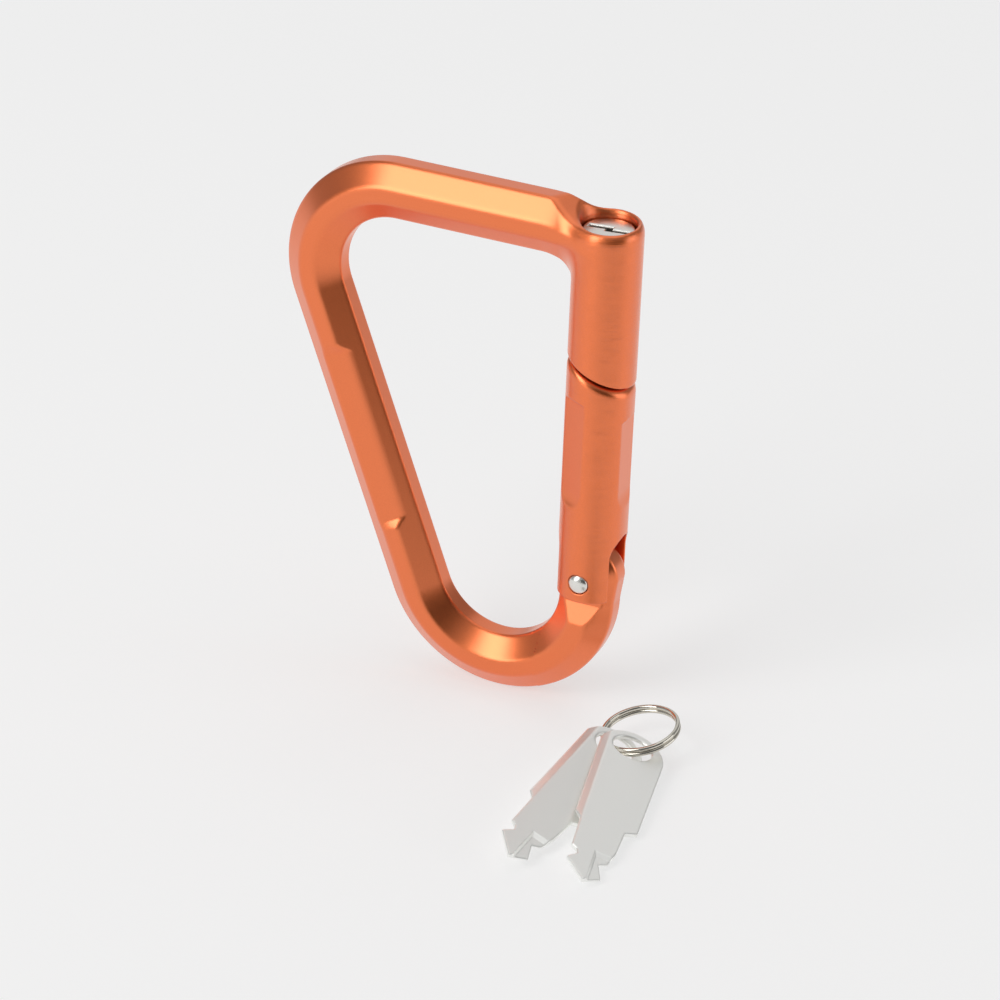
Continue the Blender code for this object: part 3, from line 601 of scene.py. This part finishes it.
ANODISED, DYE = (0.98, 0.285, 0.09), (0.94, 0.70, 0.60)
blasted = new_material("orange_anodised", ANODISED, 0.33, coat=1.0, coat_tint=DYE)
orange = add_turning(add_grain(blasted, 0.22, 0.35, 0.012, 0.10, 0.05), 9.0, 0.08, 0.045)
nickel = add_grain(new_material("satin_nickel", (0.80, 0.79, 0.75), 0.26), 0.15, 0.2, 0.006, 0.04, 0.04)
bright = add_grain(new_material("bright_nickel", (0.64, 0.61, 0.54), 0.10), 0.3, 0.1, 0.003, 0.03, 0.03)
plate = new_material("key_plate", (0.97, 0.98, 0.94), 0.36, metallic=0.7)
plated = add_grain(plate, 0.12, 0.3, 0.006, 0.04, 0.05)
steel = add_grain(new_material("turned_steel", (0.58, 0.57, 0.55), 0.3), 0.2, 0.2, 0.006, 0.06, 0.05)
spring = add_grain(new_material("spring_wire", (0.42, 0.42, 0.43), 0.28), 0.1, 0.2, 0.004, 0.06, 0.04)
dark = add_grain(new_material("blackened_pin", (0.06, 0.06, 0.065), 0.35), 0.15, 0.2, 0.004, 0.10, 0.05)
brass = add_grain(new_material("machined_brass", (0.72, 0.52, 0.20), 0.28), 0.2, 0.2, 0.006, 0.05, 0.05)


# ---- Pieces ----

BARREL_SKIN, GATE_SKIN = 0.05, 0.08  # how far from the turned radius a point still counts as turned

loop_body = place_solid("loop_body", frame_distance, (-65.5, -7.2, -0.6), (7.3, 7.2, 105.2), 0.3, orange,
                        "carabiner", "frame")
x, y, z = standing_points(loop_body)
mark_turned(loop_body, (np.hypot(x, y) < BARREL_RADIUS + BARREL_SKIN) & (z > UPPER_Z))
gate_body = place_solid("gate_body", gate_distance, (-7.1, -7.1, 24.6), (7.1, 7.1, 75.3), 0.22, orange,
                        "gate", "gate")
x, y, z = standing_points(gate_body)
mark_turned(gate_body, np.hypot(x, y) > BARREL_RADIUS - GATE_SKIN)
place_solid("core_plug", core_distance, (-5.6, -5.6, 88.6), (5.6, 5.6, 100.1), 0.13, nickel,
            "core", "lock_core")
build_rivet(nickel)
build_spring(spring)
build_ring(bright)
for key in KEYS:
    build_key(*key, plated)

CAD_FINISH = {"bolt_guide": brass, "cam_sleeve": steel, "lock_bolt": steel, "bolt_cross_pin": dark,
              "gate_strike": steel, "gate_plunger": steel}
for number in (1, 2, 3):
    CAD_FINISH[f"wafer_{number}"] = brass
    CAD_FINISH[f"wafer_spring_{number}"] = spring
for node, material in CAD_FINISH.items():
    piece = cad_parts[node]
    piece.data.materials.clear()
    piece.data.materials.append(material)


# ---- Stage, light and camera ----

FLOOR_SIZE, FLOOR_GAP = 30, 0.00002  # half its width and its distance below the loop, in metres
FLOOR_SHADE, FLOOR_GLOW = 0.46, 0.53


def build_floor():
    bm = bmesh.new()
    bmesh.ops.create_grid(bm, x_segments=1, y_segments=1, size=FLOOR_SIZE)
    mesh = bpy.data.meshes.new("floor")
    bm.to_mesh(mesh)
    bm.free()
    floor = bpy.data.objects.new("floor", mesh)
    floor.location = (0, 0, row_point(0, 0, 0).z - FLOOR_GAP)
    bpy.context.scene.collection.objects.link(floor)
    material = new_material("floor_paper", (FLOOR_SHADE,) * 3, 0.9, metallic=0.0)
    shader = material.node_tree.nodes["Principled BSDF"]
    shader.inputs["Specular IOR Level"].default_value = 0.0
    shader.inputs["Emission Color"].default_value = (1, 1, 1, 1)
    shader.inputs["Emission Strength"].default_value = FLOOR_GLOW
    mesh.materials.append(material)


def build_card(azimuth, distance, width, height):
    """A dark card that stands on the floor beyond the camera and shows in the bar's inner bevels."""
    a = math.radians(azimuth)
    towards = Vector((math.sin(a), -math.cos(a), 0))
    foot = row_point(-20, 0, 0) + towards * distance
    side = Vector((math.cos(a), math.sin(a), 0)) * width / 2
    top = Vector((0, 0, height))
    mesh = bpy.data.meshes.new("dark_card")
    mesh.from_pydata([foot - side, foot + side, foot + side + top, foot - side + top], [], [(0, 1, 2, 3)])
    card = bpy.data.objects.new("dark_card", mesh)
    bpy.context.scene.collection.objects.link(card)
    mesh.materials.append(new_material("card", (0.03, 0.03, 0.03), 0.9, metallic=0.0))


def softbox(name, azimuth, elevation, distance, size, radiance):
    """A square area light that faces the loop; azimuth is to the right of -Y."""
    a, e = math.radians(azimuth), math.radians(elevation)
    towards = Vector((math.sin(a) * math.cos(e), -math.cos(a) * math.cos(e), math.sin(e)))
    light = bpy.data.lights.new(name, "AREA")
    light.shape = "SQUARE"
    light.size = size
    light.energy = radiance * math.pi * size * size
    lamp = bpy.data.objects.new(name, light)
    lamp.location = row_point(-20, 0, 45) + towards * distance
    lamp.rotation_euler = towards.to_track_quat("Z", "Y").to_euler()
    bpy.context.scene.collection.objects.link(lamp)


def build_world(level):
    world = bpy.data.worlds.new("studio")
    world.use_nodes = True
    background = world.node_tree.nodes["Background"]
    background.inputs["Color"].default_value = (level, level, level, 1)
    bpy.context.scene.world = world


def build_camera(target, azimuth, elevation, roll, distance, lens):
    a, e, r = math.radians(azimuth), math.radians(elevation), math.radians(roll)
    back = Vector((math.sin(a) * math.cos(e), -math.cos(a) * math.cos(e), math.sin(e)))
    level = Vector((math.cos(a), math.sin(a), 0))
    right = math.cos(r) * level + math.sin(r) * back.cross(level)
    up = back.cross(right)
    camera = bpy.data.objects.new("camera", bpy.data.cameras.new("camera"))
    camera.data.lens, camera.data.sensor_width = lens, 36.0
    camera.data.clip_start = 0.01
    camera.matrix_world = Matrix.Translation(row_point(*target) + back * distance * MM) @ Matrix(
        (right, up, back)).transposed().to_4x4()
    bpy.context.scene.collection.objects.link(camera)
    bpy.context.scene.camera = camera


build_floor()
build_card(47, 0.8, 1.0, 0.6)
build_world(0.30)
softbox("key_light", -29, 42, 2.0, 1.0, 3.4)
softbox("low_light", -27, 18, 1.8, 0.7, 3.4)
softbox("right_light", 100, 8, 1.8, 1.2, 1.3)
softbox("back_light", -160, 32, 3.0, 3.0, 0.45)
softbox("top_light", 180, 85, 2.2, 2.0, 0.7)
build_camera((-19.52, 0.0, 39.32), 24.1, 28.08, 2.24, 692.39, 130.8)
bpy.context.scene.view_settings.view_transform = "Standard"
